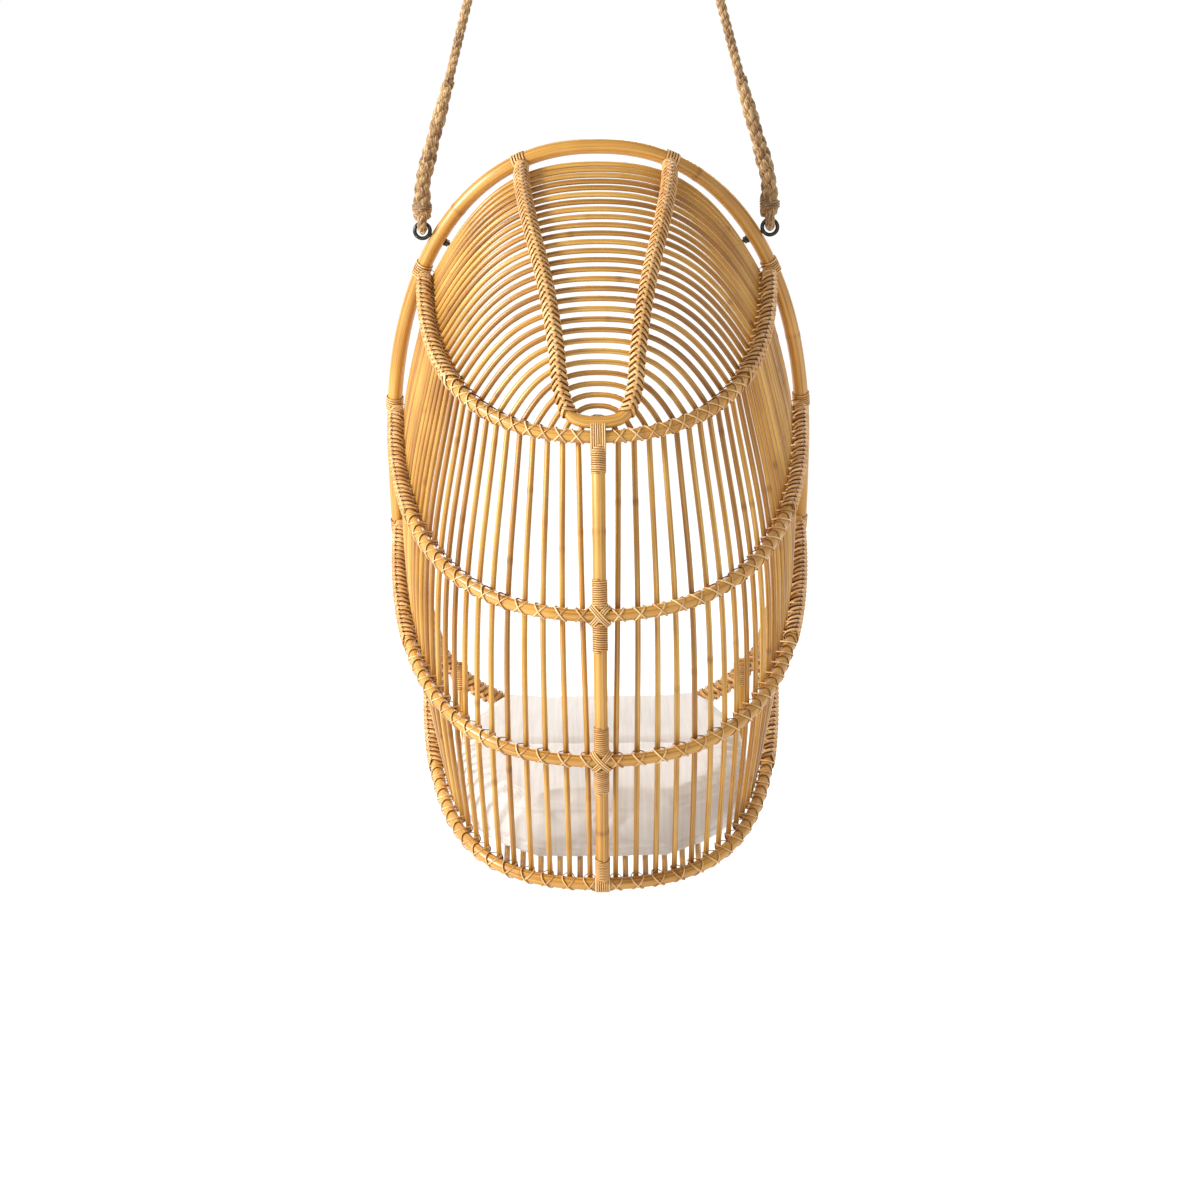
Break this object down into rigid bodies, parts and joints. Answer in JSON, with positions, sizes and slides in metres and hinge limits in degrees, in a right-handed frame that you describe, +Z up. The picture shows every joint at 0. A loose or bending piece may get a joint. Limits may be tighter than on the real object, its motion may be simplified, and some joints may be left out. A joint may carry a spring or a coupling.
{
  "type": "hanging rattan chair",
  "caption": "Egg-shaped hanging chair of bent poles and curved canes, open at the front, on two ropes from ceiling plates, with a loose seat cushion.",
  "frame": {"origin": "hanging point: midway between the two ceiling plates, on the ceiling plane", "axes": "+Z up, -Y out of the chair's open front, +X to the side that is the left of the picture (the sitter's right hand is at -X)"},
  "size_m": [0.7158, 0.7844, 1.5998],
  "materials": {
    "honey_pole": "varnished, semi-gloss",
    "plaited_pole": "pole bound with split cane, satin",
    "cane": "varnished cane, semi-gloss",
    "cane_strip": "split cane, satin",
    "dark_steel": "dark, satin",
    "rope": "twisted natural fibre, matt",
    "canvas": "woven canvas, matt"
  },
  "bodies": {
    "ceiling_fittings": {"ceiling_plate_left": "dark_steel", "ceiling_plate_right": "dark_steel"},
    "left_rope": {"rope_left": "rope", "rope_splice_left": "rope", "top_splice_left": "rope"},
    "right_rope": {"rope_right": "rope", "rope_splice_right": "rope", "top_splice_right": "rope"},
    "chair": {"rim": "honey_pole", "crown_loop": "plaited_pole", "rib_1": "plaited_pole", "rib_2": "plaited_pole", "rib_3": "plaited_pole", "base_hoop": "plaited_pole", "seat_hoop": "honey_pole", "back_strut_upper": "honey_pole", "back_strut_middle": "honey_pole", "back_strut_lower": "honey_pole", "strut_wraps": "cane_strip", "spoke_01": "cane", "spoke_02": "cane", "spoke_03": "cane", "spoke_04": "cane", "spoke_05": "cane", "spoke_06": "cane", "spoke_07": "cane", "spoke_08": "cane", "spoke_09": "cane", "spoke_10": "cane", "spoke_11": "cane", "spoke_12": "cane", "spoke_13": "cane", "spoke_14": "cane", "spoke_15": "cane", "spoke_16": "cane", "spoke_17": "cane", "spoke_18": "cane", "spoke_19": "cane", "spoke_20": "cane", "spoke_21": "cane", "spoke_22": "cane", "spoke_23": "cane", "spoke_24": "cane", "spoke_25": "cane", "spoke_26": "cane", "spoke_27": "cane", "spoke_28": "cane", "spoke_29": "cane", "deck_canes": "cane", "eye_bolt_left": "dark_steel", "eye_bolt_right": "dark_steel", "rim_washers": "dark_steel", "rim_nuts": "dark_steel"},
    "cushion": {"seat_cushion": "canvas"}
  },
  "joints": [
    {"name": "left_rope_swing", "type": "hinge", "parent": "ceiling_fittings", "child": "left_rope", "pos_m": [0.17124, 0, -0.07061], "axis": [1, 0, 0], "range_deg": [-20, 20]},
    {"name": "right_rope_swing", "type": "hinge", "parent": "ceiling_fittings", "child": "right_rope", "pos_m": [-0.17124, 0, -0.07061], "axis": [1, 0, 0], "range_deg": [-20, 20]},
    {"name": "chair_tilt", "type": "hinge", "parent": "left_rope", "child": "chair", "pos_m": [0.28394, 0, -0.55255], "axis": [1, 0, 0], "range_deg": [-12, 12]},
    {"name": "cushion_lift_out", "type": "slide", "parent": "chair", "child": "cushion", "axis": [0, -0.5878, 0.809], "range_m": [0, 0.5]}
  ],
  "couplings": [
    {"joint": "right_rope_swing", "follows": "left_rope_swing", "ratio": 1}
  ]
}
